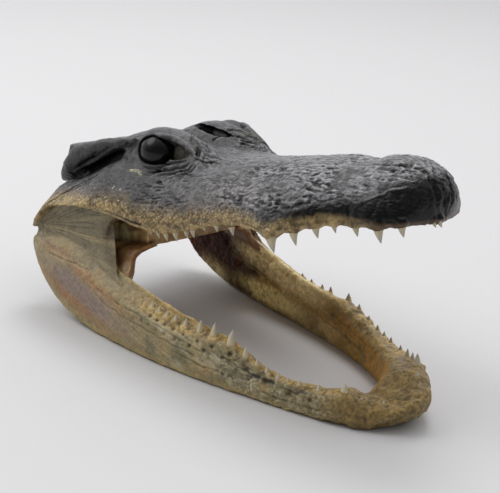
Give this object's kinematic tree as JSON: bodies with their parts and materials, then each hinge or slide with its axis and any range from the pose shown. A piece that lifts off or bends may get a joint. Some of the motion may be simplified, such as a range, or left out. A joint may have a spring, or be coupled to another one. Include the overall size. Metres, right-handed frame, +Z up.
{
  "type": "preserved alligator head",
  "caption": "Life-size dried head of a young American alligator with skin, glass eyes and open jaws, standing still on its lower jaw.",
  "frame": {"origin": "middle of the bounding box, on the floor that the lower jaw stands on", "axes": "+X towards the snout, +Y to the animal's left, +Z up"},
  "size_m": [0.1802, 0.0922, 0.0956],
  "materials": {
    "dark_skin": "dry satin",
    "pale_skin": "dry satin",
    "dried_tissue": "dry",
    "eye_glass": "polished, opaque"
  },
  "bodies": {
    "root": {"cranium": "dark_skin", "snout": "dark_skin", "brow_left": "dark_skin", "brow_right": "dark_skin", "ear_flap_left": "dark_skin", "ear_flap_right": "dark_skin", "jaw_left": "pale_skin", "jaw_right": "pale_skin", "chin": "pale_skin", "cheek_left": "dried_tissue", "cheek_right": "dried_tissue", "palate_wings": "dried_tissue", "eye_left": "eye_glass", "eye_right": "eye_glass"}
  },
  "joints": []
}
